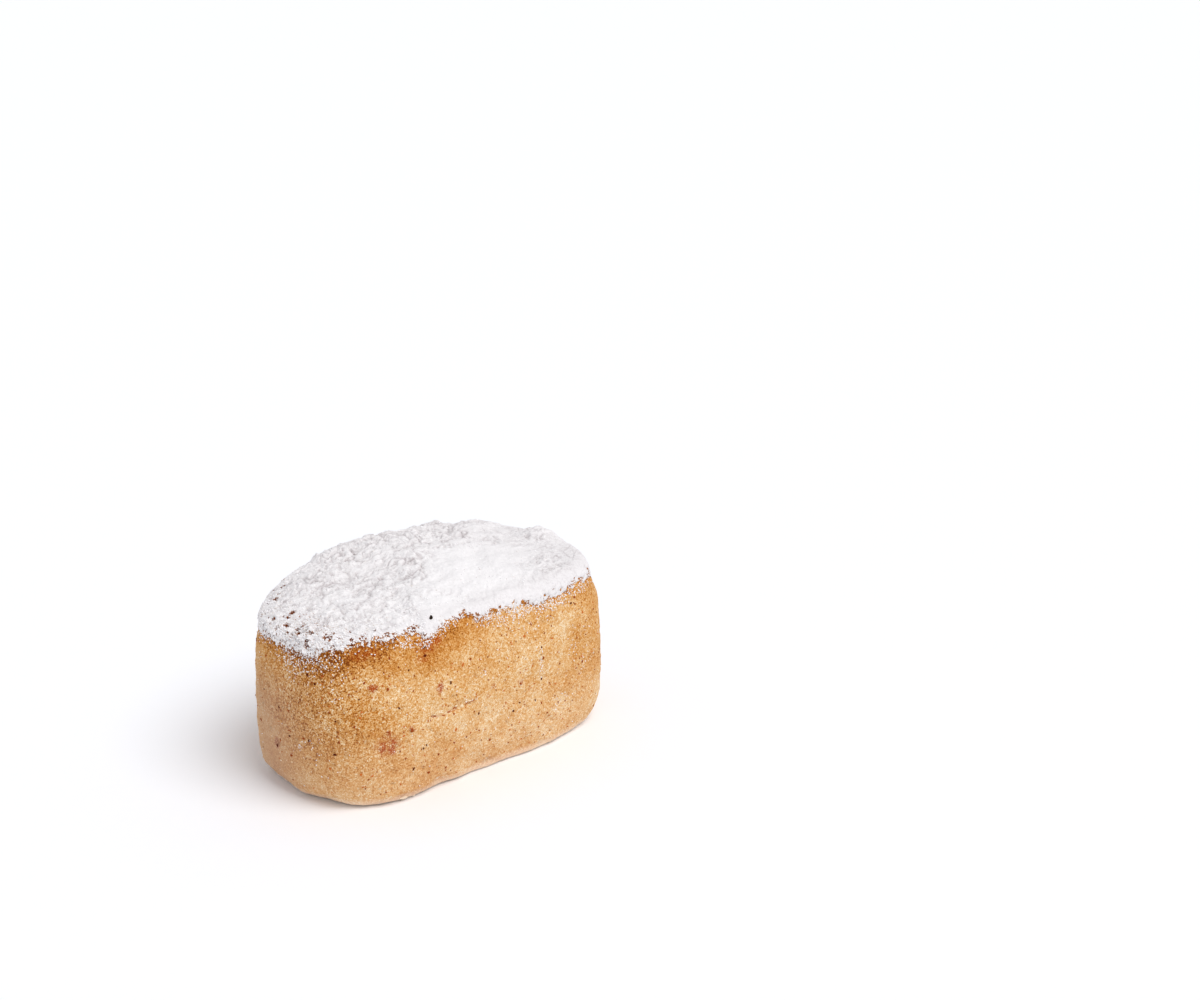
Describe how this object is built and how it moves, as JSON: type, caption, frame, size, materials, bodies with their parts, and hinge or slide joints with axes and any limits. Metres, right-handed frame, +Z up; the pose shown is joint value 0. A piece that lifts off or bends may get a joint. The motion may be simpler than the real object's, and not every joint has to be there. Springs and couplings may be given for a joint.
{
  "type": "polvoron",
  "caption": "Oval block of crumbly shortbread with slightly swollen sides, a flat base and a ragged cap of icing sugar over its top.",
  "frame": {"origin": "on the plane of the flat base, below the middle of the piece", "axes": "+X along the length, +Y to the rounder long side, +Z up through the sugar"},
  "size_m": [0.0502, 0.033, 0.0262],
  "materials": {
    "baked_dough": "dry, matt, fine-grained baked crumb",
    "icing_sugar": "soft, matt, clumped white powder"
  },
  "bodies": {
    "root": {"dough": "baked_dough", "sugar_cap": "icing_sugar"}
  },
  "joints": []
}
